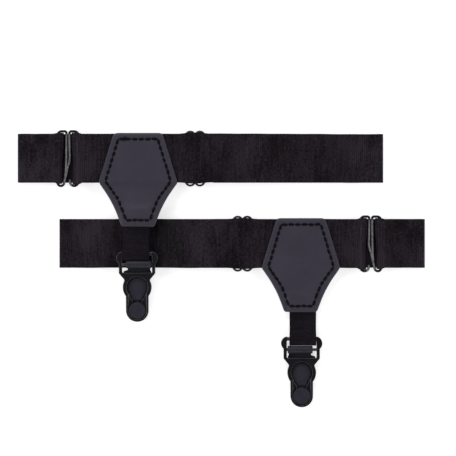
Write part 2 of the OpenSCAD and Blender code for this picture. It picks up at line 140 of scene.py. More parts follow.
def new_object(name, verts, faces, uvs=None, smooth=True, material=None):
    mesh = bpy.data.meshes.new(name)
    mesh.from_pydata([tuple(v) for v in verts], [], faces)
    if uvs is not None:
        layer = mesh.uv_layers.new(name="weave")
        for loop in mesh.loops:
            layer.data[loop.index].uv = uvs[loop.vertex_index]
    mesh.validate()
    mesh.update()
    if smooth:
        mesh.shade_smooth()
        mesh.set_sharp_from_angle(angle=math.radians(50))
    obj = bpy.data.objects.new(name, mesh)
    bpy.context.scene.collection.objects.link(obj)
    if material:
        mesh.materials.append(material)
    return obj


def outward(obj):
    """Turns a closed mesh's faces to the outside, island by island."""
    bm = bmesh.new()
    bm.from_mesh(obj.data)
    bmesh.ops.recalc_face_normals(bm, faces=bm.faces)
    bm.to_mesh(obj.data)
    bm.free()
    return obj


def arc(centre, r, start, end, n=14):
    """Points of an arc in (u, z), angles in degrees."""
    out = []
    for i in range(n + 1):
        a = math.radians(start + (end - start) * i / n)
        out.append((centre[0] + r * math.cos(a), centre[1] + r * math.sin(a)))
    return out


def softened(path, radius=1.2, n=5):
    """A path of (u, z) points with its corners rounded."""
    out = [path[0]]
    for i in range(1, len(path) - 1):
        a, b, c = np.array(path[i - 1]), np.array(path[i]), np.array(path[i + 1])
        la, lc = np.linalg.norm(a - b), np.linalg.norm(c - b)
        turn = np.dot((b - a) / la, (c - b) / lc)
        if turn > 0.9999:
            out.append(tuple(b))
            continue
        r = min(radius, la * 0.45, lc * 0.45)
        p, q = b + (a - b) / la * r, b + (c - b) / lc * r
        for k in range(n + 1):
            t = k / n
            out.append(tuple((1 - t) ** 2 * p + 2 * t * (1 - t) * b + t * t * q))
    out.append(path[-1])
    return out


def resample(path, step):
    """The path with points no further apart than step, all of its own points kept."""
    out = [path[0]]
    for a, b in zip(path, path[1:]):
        d = math.dist(a, b)
        n = max(1, math.ceil(d / step))
        for k in range(1, n + 1):
            out.append((a[0] + (b[0] - a[0]) * k / n, a[1] + (b[1] - a[1]) * k / n))
    clean = [out[0]]
    for p in out[1:]:
        if math.dist(p, clean[-1]) > 1e-5:
            clean.append(p)
    return clean


def section(width, t, n_across=18):
    """A band's cross-section: flat faces, a slightly thicker rounded selvedge along both edges."""
    half = width / 2
    top = []
    ys = [-half, -half + 0.05, -half + 0.18, -half + 0.45, -half + 0.8, -half + 1.15]
    hs = [0.0, 0.62, 0.92, 1.0, 0.98, 0.86]
    inner = np.linspace(-half + 1.6, half - 1.6, n_across)
    ys = ys + list(inner) + [-y for y in reversed(ys)]
    hs = hs + [0.9] * n_across + list(reversed(hs))
    for y, h in zip(ys, hs):
        top.append((y, h * t / 2))
    bottom = [(y, -h) for y, h in reversed(top[1:-1])]
    return top + bottom


def ribbon(name, g, path, width, t, material, offset=None, step=1.0, mapper=None, across=18, tint=None):
    """A woven band along a side-view path of (u, z). offset gives (width factor, shift across) at a point, and
    mapper turns (u, y, z) into the row frame. tint gives the rim attribute at u."""
    mapper = mapper or (lambda u, y, z: place(g, u, y, z))
    pts = resample(path, step)
    p = np.array(pts)
    tangent = np.zeros_like(p)
    tangent[1:-1] = p[2:] - p[:-2]
    tangent[0], tangent[-1] = p[1] - p[0], p[-1] - p[-2]
    tangent /= np.linalg.norm(tangent, axis=1)[:, None]
    normal = np.stack([-tangent[:, 1], tangent[:, 0]], 1)
    lengths = np.concatenate([[0], np.cumsum(np.linalg.norm(np.diff(p, axis=0), axis=1))])
    prof = section(width, t, across)
    m = len(prof)
    verts, uvs, faces = [], [], []
    for i, (u, z) in enumerate(pts):
        k, shift = offset(u) if offset else (1.0, 0.0)
        for y, h in prof:
            verts.append(mapper(u + normal[i, 0] * h, y * k + shift, z + normal[i, 1] * h))
            uvs.append((lengths[i] / 10, y / 10 if h >= 0 else -y / 10 + 20))
    for i in range(len(pts) - 1):
        for j in range(m):
            a, b = i * m + j, i * m + (j + 1) % m
            faces.append((a, b, b + m, a + m))
    faces.append(tuple(range(m)))
    faces.append(tuple(reversed(range((len(pts) - 1) * m, len(pts) * m))))
    obj = new_object(name, verts, faces, uvs, material=material)
    outward(obj)
    if tint:
        rim(obj, [tint(u) for u, _ in pts for _ in range(m)])
    return obj, lengths[-1]


def tube(name, points, r, material, sides=14, caps=True, blunt=0.35):
    """A round wire through points (already dense), with rounded ends."""
    p = np.array([tuple(x) for x in points], float)
    n = len(p)
    tangent = np.zeros_like(p)
    tangent[1:-1] = p[2:] - p[:-2]
    tangent[0], tangent[-1] = p[1] - p[0], p[-1] - p[-2]
    tangent /= np.linalg.norm(tangent, axis=1)[:, None]
    up = np.array([0.0, 0.0, 1.0])
    if abs(tangent[0] @ up) > 0.9:
        up = np.array([0.0, 1.0, 0.0])
    side = np.cross(tangent[0], up)
    side /= np.linalg.norm(side)
    verts, faces, rings = [], [], []
    for i in range(n):
        side = side - (side @ tangent[i]) * tangent[i]
        side /= np.linalg.norm(side)
        other = np.cross(tangent[i], side)
        rings.append((p[i], side.copy(), other, r))
    if caps:
        first, last = rings[0], rings[-1]
        pre = [(first[0] - tangent[0] * r * math.sin(a) * blunt * 2, first[1], first[2], r * math.cos(a))
               for a in (1.35, 0.95, 0.5)]
        post = [(last[0] + tangent[-1] * r * math.sin(a) * blunt * 2, last[1], last[2], r * math.cos(a))
                for a in (0.5, 0.95, 1.35)]
        rings = pre + rings + post
    for c, s, o, rad in rings:
        for k in range(sides):
            a = 2 * math.pi * k / sides
            verts.append(c + rad * (math.cos(a) * s + math.sin(a) * o))
    total = len(rings)
    for i in range(total - 1):
        for k in range(sides):
            a, b = i * sides + k, i * sides + (k + 1) % sides
            faces.append((a, b, b + sides, a + sides))
    faces.append(tuple(range(sides)))
    faces.append(tuple(reversed(range((total - 1) * sides, total * sides))))
    obj = new_object(name, [Vector(v) for v in verts], faces, material=material)
    return outward(obj)


def smooth_line(points, per=10):
    """A Catmull-Rom curve through points of any dimension."""
    pts = [np.array(p, float) for p in points]
    out = []
    n = len(pts)
    for i in range(n - 1):
        p0 = pts[max(i - 1, 0)]
        p1, p2 = pts[i], pts[i + 1]
        p3 = pts[min(i + 2, n - 1)]
        for k in range(per):
            t = k / per
            square, cube = 2 * p0 - 5 * p1 + 4 * p2 - p3, 3 * p1 - p0 - 3 * p2 + p3
            out.append(0.5 * ((2 * p1) + (p2 - p0) * t + square * t * t + cube * t ** 3))
    out.append(pts[-1])
    return out


def joined(name, objs):
    """Several meshes made into one object."""
    verts, faces = [], []
    for o in objs:
        base = len(verts)
        verts += [v.co.copy() for v in o.data.vertices]
        faces += [tuple(base + i for i in f.vertices) for f in o.data.polygons]
    obj = new_object(name, verts, faces, material=objs[0].data.materials[0])
    for o in objs:
        mesh = o.data
        bpy.data.objects.remove(o)
        bpy.data.meshes.remove(mesh)
    return obj


# ---- materials -----------------------------------------------------------------------------------

def material(name):
    m = bpy.data.materials.new(name)
    m.use_nodes = True
    nt = m.node_tree
    bsdf = nt.nodes["Principled BSDF"]
    return m, nt, bsdf


def node(nt, kind, **values):
    n = nt.nodes.new(kind)
    for k, v in values.items():
        if k in n.inputs:
            n.inputs[k].default_value = v
        else:
            setattr(n, k, v)
    return n


def ramp(nt, fac, stops):
    r = nt.nodes.new("ShaderNodeValToRGB")
    el = r.color_ramp.elements
    while len(el) < len(stops):
        el.new(0.5)
    for e, (pos, col) in zip(el, stops):
        e.position = pos
        e.color = (*col, 1) if len(col) == 3 else (col[0],) * 3 + (1,)
    nt.links.new(fac, r.inputs["Fac"])
    return r.outputs["Color"]


def math_node(nt, op, a, b=None):
    n = nt.nodes.new("ShaderNodeMath")
    n.operation = op
    for i, v in enumerate((a, b)):
        if v is None:
            continue
        if isinstance(v, (int, float)):
            n.inputs[i].default_value = v
        else:
            nt.links.new(v, n.inputs[i])
    return n.outputs[0]


def mix_color(nt, fac, a, b, mode="MIX"):
    n = nt.nodes.new("ShaderNodeMix")
    n.data_type = "RGBA"
    n.blend_type = mode
    n.clamp_result = False
    for i, v in ((0, fac), (6, a), (7, b)):
        if isinstance(v, (int, float)):
            n.inputs[i].default_value = v
        elif isinstance(v, tuple):
            n.inputs[i].default_value = (*v, 1)
        else:
            nt.links.new(v, n.inputs[i])
    return n.outputs[2]


def woven_material(name, width, dark, light, speck, rib_mm, rough=0.62, sheen=0.06, bump=0.5, crest=False):
    """A woven elastic: ribs across the band, fine threads along it, uneven dye and a few light fibres, with painted
    light in the colour: shade in the rib hollows and along the selvedges, broad sheen bands, and where crest is set the
    highlight and shade of the rim attribute.
    """
    m, nt, bsdf = material(name)
    uv = nt.nodes.new("ShaderNodeUVMap")
    uv.uv_map = "weave"
    sep = nt.nodes.new("ShaderNodeSeparateXYZ")
    nt.links.new(uv.outputs["UV"], sep.inputs[0])
    u, v = sep.outputs["X"], sep.outputs["Y"]

    def noise(su, sv, detail=3.0, rough=0.6):
        """Noise with its own number of cells to the centimetre along and across the band."""
        at = nt.nodes.new("ShaderNodeMapping")
        at.inputs["Scale"].default_value = (su, sv, 1)
        nt.links.new(uv.outputs["UV"], at.inputs["Vector"])
        n = node(nt, "ShaderNodeTexNoise", Scale=1.0, Detail=detail, Roughness=rough)
        nt.links.new(at.outputs["Vector"], n.inputs["Vector"])
        return n.outputs["Fac"]

    # a little waviness keeps the ribs from looking ruled
    uu = math_node(nt, "ADD", u, math_node(nt, "MULTIPLY", noise(2.2, 2.2, 2.0), 0.05))
    ribs = math_node(nt, "SINE", math_node(nt, "MULTIPLY", uu, 2 * math.pi * 10 / rib_mm))
    threads = math_node(nt, "SINE", math_node(nt, "MULTIPLY", v, 2 * math.pi * 10 / 0.42))
    knots = math_node(nt, "MULTIPLY", math_node(nt, "ADD", ribs, 1.0), math_node(nt, "ADD", threads, 1.0))
    height = math_node(nt, "ADD", math_node(nt, "MULTIPLY", ribs, 0.5), math_node(nt, "MULTIPLY", knots, 0.16))
    # uneven dye: streaks along the ribs and the fuzz of single yarns; the broad soft patches are painted sheen bands,
    # lighter and darker stretches of the band
    tone = math_node(nt, "MULTIPLY", noise(0.5, 0.35, 2.0), 0.42)
    tone = math_node(nt, "ADD", tone, math_node(nt, "MULTIPLY", noise(6.0, 0.7, 3.0, 0.7), 0.26))
    tone = math_node(nt, "ADD", tone, math_node(nt, "MULTIPLY", noise(9.0, 6.5, 2.0, 0.7), 0.32))
    spread = 0.066
    between = tuple((a + b) / 2 for a, b in zip(dark, light))
    base = ramp(nt, tone, [(0.5 - spread, dark), (0.5, between), (0.5 + spread, light)])
    # painted shade: the colour is darkened in the hollows between ribs and knots, by their height
    shade = math_node(nt, "ADD", math_node(nt, "MULTIPLY", height, 0.42), 0.90)
    # where crest is set, the rim attribute scales the colour: painted highlight over the hook's bars, painted shade
    # where the band rolls down, and painted sheen bands
    if crest:
        here = nt.nodes.new("ShaderNodeAttribute")
        here.attribute_name = "rim"
        shade = math_node(nt, "MULTIPLY", shade, math_node(nt, "ADD", here.outputs["Fac"], 1.0))
    grey = nt.nodes.new("ShaderNodeCombineColor")
    for i in range(3):
        nt.links.new(shade, grey.inputs[i])
    rib_shaded = mix_color(nt, 1.0, base, grey.outputs[0], "MULTIPLY")
    # light fibres
    cells = node(nt, "ShaderNodeTexVoronoi", Scale=13.0, Randomness=1.0)
    nt.links.new(uv.outputs["UV"], cells.inputs["Vector"])
    near = math_node(nt, "LESS_THAN", cells.outputs["Distance"], 0.22)
    sepc = nt.nodes.new("ShaderNodeSeparateColor")
    nt.links.new(cells.outputs["Color"], sepc.inputs[0])
    chosen = math_node(nt, "GREATER_THAN", sepc.outputs[0], 0.68)
    fleck = math_node(nt, "MULTIPLY", math_node(nt, "MULTIPLY", near, chosen), 0.6)
    dyed_and_shaded = mix_color(nt, fleck, rib_shaded, speck)
    # painted shade along both selvedges: the outer strip of the band is darkened
    far = math_node(nt, "ABSOLUTE", v)
    outside = math_node(nt, "GREATER_THAN", far, width / 20 - 0.045)
    edge = math_node(nt, "MULTIPLY", outside, math_node(nt, "LESS_THAN", far, 10.0))
    col = mix_color(nt, math_node(nt, "MULTIPLY", edge, 0.7), dyed_and_shaded, (0.002, 0.0015, 0.0025))
    nt.links.new(col, bsdf.inputs["Base Color"])
    bsdf.inputs["Roughness"].default_value = rough
    bsdf.inputs["Specular IOR Level"].default_value = 0.16
    bsdf.inputs["Sheen Weight"].default_value = sheen
    bsdf.inputs["Sheen Roughness"].default_value = 0.4
    bsdf.inputs["Sheen Tint"].default_value = (0.80, 0.74, 0.86, 1)
    b = node(nt, "ShaderNodeBump", Strength=bump, Distance=0.00012)
    nt.links.new(height, b.inputs["Height"])
    nt.links.new(b.outputs["Normal"], bsdf.inputs["Normal"])
    return m


def leather_material():
    m, nt, bsdf = material("patch_leather")
    tc = nt.nodes.new("ShaderNodeTexCoord")
    vec = tc.outputs["Object"]
    broad = node(nt, "ShaderNodeTexNoise", Scale=55.0, Detail=3.0, Roughness=0.55)
    nt.links.new(vec, broad.inputs["Vector"])
    base = ramp(nt, broad.outputs["Fac"], [
        (0.3, (0.0500, 0.0445, 0.0650)), (0.5, (0.0555, 0.0500, 0.0720)), (0.72, (0.0620, 0.0560, 0.0800))])
    grain = node(nt, "ShaderNodeTexVoronoi", Scale=1500.0, Randomness=1.0)
    nt.links.new(vec, grain.inputs["Vector"])
    fine = node(nt, "ShaderNodeTexNoise", Scale=2600.0, Detail=3.0)
    nt.links.new(vec, fine.inputs["Vector"])
    pits = ramp(nt, grain.outputs["Distance"], [(0.0, (0.90,) * 3), (0.45, (1.04,) * 3)])
    col = mix_color(nt, 1.0, base, pits, "MULTIPLY")
    # the cut, painted edge is smoother; its lighter colour is a patchy painted highlight, the light its rounded rim
    # catches
    edge = nt.nodes.new("ShaderNodeAttribute")
    edge.attribute_name = "rim"
    edge_highlight = node(nt, "ShaderNodeTexNoise", Scale=700.0, Detail=4.0, Roughness=0.7)
    nt.links.new(vec, edge_highlight.inputs["Vector"])
    patchy = math_node(nt, "ADD", math_node(nt, "MULTIPLY", edge_highlight.outputs["Fac"], 0.9), 0.35)
    painted_light = math_node(nt, "MULTIPLY", edge.outputs["Fac"], patchy)
    col = mix_color(nt, painted_light, col, (0.17, 0.16, 0.19))
    # painted shadow: the seam attribute darkens the groove along the stitching
    seam = nt.nodes.new("ShaderNodeAttribute")
    seam.attribute_name = "seam"
    col = mix_color(nt, math_node(nt, "MULTIPLY", seam.outputs["Fac"], 0.80), col, (0.004, 0.0035, 0.005))
    nt.links.new(col, bsdf.inputs["Base Color"])
    rough = ramp(nt, fine.outputs["Fac"], [(0.3, (0.50,) * 3), (0.7, (0.62,) * 3)])
    nt.links.new(rough, bsdf.inputs["Roughness"])
    bsdf.inputs["Specular IOR Level"].default_value = 0.2
    h = math_node(nt, "ADD", grain.outputs["Distance"], math_node(nt, "MULTIPLY", fine.outputs["Fac"], 0.5))
    b = node(nt, "ShaderNodeBump", Strength=0.22, Distance=0.00006)
    nt.links.new(h, b.inputs["Height"])
    nt.links.new(b.outputs["Normal"], bsdf.inputs["Normal"])
    return m


def thread_material():
    m, nt, bsdf = material("patch_thread")
    tc = nt.nodes.new("ShaderNodeTexCoord")
    w = node(nt, "ShaderNodeTexWave", Scale=1500.0, Distortion=2.0)
    w.bands_direction = "DIAGONAL"
    nt.links.new(tc.outputs["Object"], w.inputs["Vector"])
    col = ramp(nt, w.outputs["Fac"], [(0.2, (0.0015, 0.0013, 0.0022)), (0.8, (0.0055, 0.0050, 0.0070))])
    nt.links.new(col, bsdf.inputs["Base Color"])
    bsdf.inputs["Roughness"].default_value = 0.7
    bsdf.inputs["Specular IOR Level"].default_value = 0.12
    b = node(nt, "ShaderNodeBump", Strength=0.5, Distance=0.00005)
    nt.links.new(w.outputs["Fac"], b.inputs["Height"])
    nt.links.new(b.outputs["Normal"], bsdf.inputs["Normal"])
    return m


def wire_material():
    """Black coated wire, mixed towards a silvery grey where the attribute says so: abraded coating on the hook's middle
    wires, and a painted highlight along the tops of the wires.
    """
    m, nt, bsdf = material("coated_wire")
    tc = nt.nodes.new("ShaderNodeTexCoord")
    vec = tc.outputs["Object"]
    wear_and_highlight = nt.nodes.new("ShaderNodeAttribute")
    wear_and_highlight.attribute_name = "rim"
    chips = node(nt, "ShaderNodeTexNoise", Scale=900.0, Detail=5.0, Roughness=0.75)
    nt.links.new(vec, chips.inputs["Vector"])
    chipped = ramp(nt, chips.outputs["Fac"], [(0.36, (0.25,) * 3), (0.62, (1.0,) * 3)])
    mask = math_node(nt, "MULTIPLY", wear_and_highlight.outputs["Fac"], chipped)
    fine = node(nt, "ShaderNodeTexNoise", Scale=2500.0, Detail=2.0)
    nt.links.new(vec, fine.inputs["Vector"])
    black = ramp(nt, fine.outputs["Fac"], [(0.3, (0.0045, 0.0042, 0.0055)), (0.75, (0.0095, 0.0090, 0.0110))])
    # silvery grey: bare metal where the coating is abraded, and a painted highlight
    col = mix_color(nt, mask, black, (0.30, 0.295, 0.31))
    nt.links.new(col, bsdf.inputs["Base Color"])
    rough = math_node(nt, "ADD", math_node(nt, "MULTIPLY", fine.outputs["Fac"], 0.12), 0.26)
    nt.links.new(rough, bsdf.inputs["Roughness"])
    bsdf.inputs["Specular IOR Level"].default_value = 0.36
    b = node(nt, "ShaderNodeBump", Strength=0.12, Distance=0.00005)
    nt.links.new(chips.outputs["Fac"], b.inputs["Height"])
    nt.links.new(b.outputs["Normal"], bsdf.inputs["Normal"])
    return m


def moulded_material(name, low, high, rough=0.42, spec=0.45, edge_highlight=None):
    """Moulded plastic: a fine spark-eroded texture, faint flow marks and dust, and, when a colour is given for it, a
    patchy painted highlight on the rounded edges.
    """
    m, nt, bsdf = material(name)
    tc = nt.nodes.new("ShaderNodeTexCoord")
    vec = tc.outputs["Object"]
    flow = node(nt, "ShaderNodeTexNoise", Scale=160.0, Detail=3.0, Distortion=1.2)
    nt.links.new(vec, flow.inputs["Vector"])
    col = ramp(nt, flow.outputs["Fac"], [(0.32, low), (0.7, high)])
    pits = node(nt, "ShaderNodeTexNoise", Scale=3200.0, Detail=2.0)
    nt.links.new(vec, pits.inputs["Vector"])
    dust = node(nt, "ShaderNodeTexNoise", Scale=1500.0, Detail=2.0)
    nt.links.new(vec, dust.inputs["Vector"])
    motes = math_node(nt, "MULTIPLY", math_node(nt, "GREATER_THAN", dust.outputs["Fac"], 0.70), 0.25)
    col = mix_color(nt, motes, col, (0.16, 0.16, 0.17))
    # painted highlight: the colour is lightened where the rim attribute marks the sloping faces of rounded edges
    if edge_highlight:
        painted_light = nt.nodes.new("ShaderNodeAttribute")
        painted_light.attribute_name = "rim"
        patchy = ramp(nt, flow.outputs["Fac"], [(0.35, (0.45,) * 3), (0.62, (1.0,) * 3)])
        col = mix_color(nt, math_node(nt, "MULTIPLY", painted_light.outputs["Fac"], patchy), col, edge_highlight)
    nt.links.new(col, bsdf.inputs["Base Color"])
    r = math_node(nt, "ADD", math_node(nt, "MULTIPLY", pits.outputs["Fac"], 0.16), rough - 0.08)
    nt.links.new(r, bsdf.inputs["Roughness"])
    bsdf.inputs["Specular IOR Level"].default_value = spec
    b = node(nt, "ShaderNodeBump", Strength=0.18, Distance=0.00004)
    nt.links.new(pits.outputs["Fac"], b.inputs["Height"])
    nt.links.new(b.outputs["Normal"], bsdf.inputs["Normal"])
    return m


ELASTIC = woven_material(
    "calf_elastic", BAND_W, (0.0024, 0.0008, 0.0030), (0.0260, 0.0175, 0.0272), (0.085, 0.074, 0.090), 1.05, crest=True)
PENDANT = woven_material(
    "pendant_elastic", PENDANT_W, (0.0030, 0.0016, 0.0044), (0.0115, 0.0070, 0.0140), (0.040, 0.034, 0.044), 0.9,
    rough=0.7, sheen=0.04, bump=0.3)
LEATHER = leather_material()
THREAD = thread_material()
WIRE = wire_material()
# the last colour is the painted highlight on the frame's rounded edges
PLASTIC = moulded_material(
    "clip_plastic", (0.0060, 0.0050, 0.0075), (0.0115, 0.0100, 0.0135), rough=0.36, spec=0.4,
    edge_highlight=(0.15, 0.145, 0.16))
RUBBER = moulded_material(
    "tongue_rubber", (0.0270, 0.0250, 0.0375), (0.0380, 0.0350, 0.0500), rough=0.5, spec=0.25)


def rim(obj, values, name="rim"):
    """Writes the attribute that the materials read: painted highlight and shade on edges, crests and wires, and the
    abraded coating of the hook's middle wires.
    """
    a = obj.data.attributes.new(name, "FLOAT", "POINT")
    a.data.foreach_set("value", np.array(values, np.float32))


# ---- calf elastic --------------------------------------------------------------------------------

def smooth01(t):
    t = min(max(t, 0.0), 1.0)
    return t * t * (3 - 2 * t)


def calf_elastic(g):
    garter, adjuster = f"{g}_garter", f"{g}_adjuster"
    u_s, bar = SLIDER_U[g], HOOK_U[g]
    edge = PATCH_U[g] - 20.4
    front = softened([
        (PATCH_U[g] - 8, Z_TAIL), (edge - 0.8, Z_TAIL), (edge - 4, Z_RETURN), (bar + HOOK_BAR + 0.1, Z_RETURN)])
    open_bend = arc((bar + HOOK_BAR, Z_HOOK), HOOK_LOOP_R, 270, 90, 24)
    front += [(bar + HOOK_BAR + (u - bar - HOOK_BAR) * 2.1, z) for u, z in open_bend]
    front += softened([
        (bar + HOOK_BAR + 0.1, Z_OVER_HOOK), (bar + HOOK_BAR + 3, Z_OVER_HOOK), (bar + HOOK_BAR + 6.2, Z_FRONT),
        (PATCH_U[g] + 20.7, Z_FRONT), (u_s - SLIDER_BAR - 1.45, Z_FRONT_HIGH), (SLOPE_START, Z_FRONT_HIGH),
        (SLOPE_END, Z_FRONT_FAR), (FAR_U, Z_FRONT_FAR)], 2.5)
    front += arc((FAR_U, (Z_BACK + Z_FRONT_FAR) / 2), 0.55, 90, -90, 10)[1:]

    def edges(u):
        """The band spreads into the hook's round ends and over the slider's, and its edges are not ruled."""
        x = u - bar - HOOK_BAR + 1.2
        at_hook = math.exp(-(x / (2.3 if x > 0 else 3.2)) ** 4)
        at_slider = math.exp(-((u - u_s) / 5.6) ** 4)
        wander = 0.10 * math.sin(u * 0.11 + 1.0) * math.sin(u * 0.031)
        width = 1 + 0.062 * at_hook + 0.042 * at_slider + 0.0025 * math.sin(u * 0.37)
        return width, wander * (1 - at_hook) - 0.27 * at_hook

    def outer_edges(u):
        x = u - bar + HOOK_BAR - 1.2
        at_hook = math.exp(-(x / (2.3 if x < 0 else 3.2)) ** 4)
        return 1 + 0.045 * at_hook + 0.002 * math.sin(u * 0.5), -0.12 * at_hook

    def crest(way):
        """Painted highlight where the band is stretched over the bar, painted shade where it rolls down towards the
        hook's middle, painted sheen bands along the rest, and on the hook's side of the bar a shift that is darker
        towards the band's outer end.
        """
        def tint(u):
            x = way * (u - bar) - HOOK_BAR
            light = 0.35 * math.exp(-((x + 0.2 if way > 0 else x - 0.9) / 0.55) ** 2)
            dark = 0.62 * smooth01((-x - 0.3) / 1.6)
            # painted sheen: slow lighter and darker stretches along the band
            painted_light = 0.30 * math.sin(u * 0.16 + (0.4 if g == "upper" else 2.1)) * math.sin(u * 0.053 + 1.2)
            return light - dark + (painted_light if x > 0 else 0.62 * smooth01((u - 5) / 14) - 0.45)
        return tint

    def leaning(way):
        """The bend on a bar stands off further at the upper end, where the hook leaves it room."""
        def mapper(u, y, z):
            inside = smooth01((HOOK_BAR - way * (u - bar)) / 2.2)
            lower = 0.35 * smooth01((-y - 9) / 3) if way > 0 else 0.0
            return place(g, u - way * inside * (0.85 * smooth01((y + 3) / 11) + lower), y, z)
        return mapper

    a, length = ribbon(
        f"{g}_front_band", g, front, BAND_W, BAND_T, ELASTIC, offset=edges, step=0.7, mapper=leaning(1), tint=crest(1))
    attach(a, garter)
    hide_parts(f"{g}_hook_loop", f"{g}_front_elastic", f"{g}_far_fold")

    outer = [(FOLD_U + 0.6, Z_BACK)] + arc((FOLD_U, Z_FOLD), 1.4, 270, 90)
    outer += softened([
        (FOLD_U, Z_OUTER), (bar - HOOK_BAR - 4.5, Z_OUTER), (bar - HOOK_BAR - 1, Z_OVER_HOOK),
        (bar - HOOK_BAR - 0.1, Z_OVER_HOOK)], 1.6)[1:]
    closed_bend = arc((bar - HOOK_BAR, Z_HOOK), HOOK_LOOP_R, 90, -90, 24)
    outer += [(bar - HOOK_BAR + (u - bar + HOOK_BAR) * 1.82, z) for u, z in closed_bend]
    outer += [(FOLD_U, Z_RETURN)] + arc((FOLD_U, Z_FOLD), 0.5, 90, 270, 10)[1:] + [(FOLD_U + 0.6, Z_ADJUSTER)]
    b, length = ribbon(
        f"{g}_outer_band", g, outer, BAND_W, BAND_T, ELASTIC, offset=outer_edges, step=0.7, mapper=leaning(-1),
        tint=crest(-1))
    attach(b, garter)
    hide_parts(f"{g}_outer_loop")

    near, length = ribbon(
        f"{g}_back_near_band", g, [(FOLD_U + 0.6, Z_BACK), (u_s - WEAVE_REACH, Z_BACK)], BAND_W, BAND_T, ELASTIC,
        step=1.2)
    place(g, FOLD_U + 0.6, 0, Z_BACK)
    place(g, u_s - WEAVE_REACH, 0, Z_BACK)
    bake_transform(near)
    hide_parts(f"{g}_back_near_elastic")

    far, length = ribbon(
        f"{g}_back_far_band", g, [(u_s + WEAVE_REACH, Z_BACK), (FAR_U, Z_BACK)], BAND_W, BAND_T, ELASTIC, step=1.2)
    place(g, u_s + WEAVE_REACH, 0, Z_BACK)
    place(g, FAR_U, 0, Z_BACK)
    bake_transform(far)
    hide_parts(f"{g}_back_far_elastic")

    run, length = ribbon(
        f"{g}_adjuster_band", g, [(FOLD_U + 0.6, Z_ADJUSTER), (u_s - WEAVE_REACH, Z_ADJUSTER)], BAND_W, BAND_T, ELASTIC,
        step=1.2)
    place(g, FOLD_U + 0.6, 0, Z_ADJUSTER)
    place(g, u_s - WEAVE_REACH, 0, Z_ADJUSTER)
    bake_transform(run)
    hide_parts(f"{g}_adjuster_run")

    def squeezed(u):
        """The band is squeezed between the slider's round ends, and widens again on both sides of them."""
        k = 1 - smooth01((abs(u - u_s) - 6.0) / (WEAVE_REACH - 6.2))
        return 1 - (1 - (WAIST_W - 0.1) / BAND_W) * k, SLIDER_Y * k

    weave = softened([
        (u_s + WEAVE_REACH, Z_BACK), (u_s + 9.3, Z_BACK), (u_s + 5.8, Z_OVER_SLIDER), (u_s + 4.5, Z_OVER_SLIDER),
        (u_s + 1.2, Z_BACK), (u_s - 1.2, Z_BACK), (u_s - 4.5, Z_OVER_SLIDER), (u_s - 5.6, Z_OVER_SLIDER),
        (u_s - 8.9, Z_BACK), (u_s - WEAVE_REACH, Z_BACK)], 0.7)
    c, length = ribbon(f"{g}_weave_band", g, weave, BAND_W, BAND_T, ELASTIC, offset=squeezed, step=0.6)
    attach(c, adjuster)
    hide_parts(f"{g}_slider_weave")

    wrap = softened([
        (u_s - WEAVE_REACH, Z_ADJUSTER), (u_s - 9.2, Z_ADJUSTER), (u_s - 5.9, Z_ADJUSTER_OVER),
        (u_s - 4.2, Z_ADJUSTER_OVER), (u_s - 0.45, Z_OVER_SLIDER + 0.1)], 0.7)
    wrap += arc((u_s, Z_SLIDER), SLIDER_LOOP_R, 90, -145, 24)
    d, length = ribbon(f"{g}_wrapped_end", g, wrap, BAND_W, BAND_T, ELASTIC, offset=squeezed, step=0.6)
    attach(d, adjuster)
    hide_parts(f"{g}_adjuster_end")

    tacks = []
    for y0 in (-8, 0, 8):
        pts = []
        for i in range(23):
            u, y = u_s - 5.05 + (0.62 if i % 2 else -0.62), y0 + SLIDER_Y - 2.4 + 4.8 * i / 22
            pts.append(place(g, u, y, Z_ADJUSTER_OVER + 0.37))
        tacks.append(tube("tack", pts, 0.11 * MM, THREAD, sides=6))
    t = joined(f"{g}_tack_thread", tacks)
    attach(t, adjuster)
    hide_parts(f"{g}_adjuster_tack")


# ---- wire hardware -------------------------------------------------------------------------------

def turn(cx, cy, r, start, end, n=14):
    """Points of a wire's turn in (x, y), angles in degrees."""
    return arc((cx, cy), r, start, end, n)


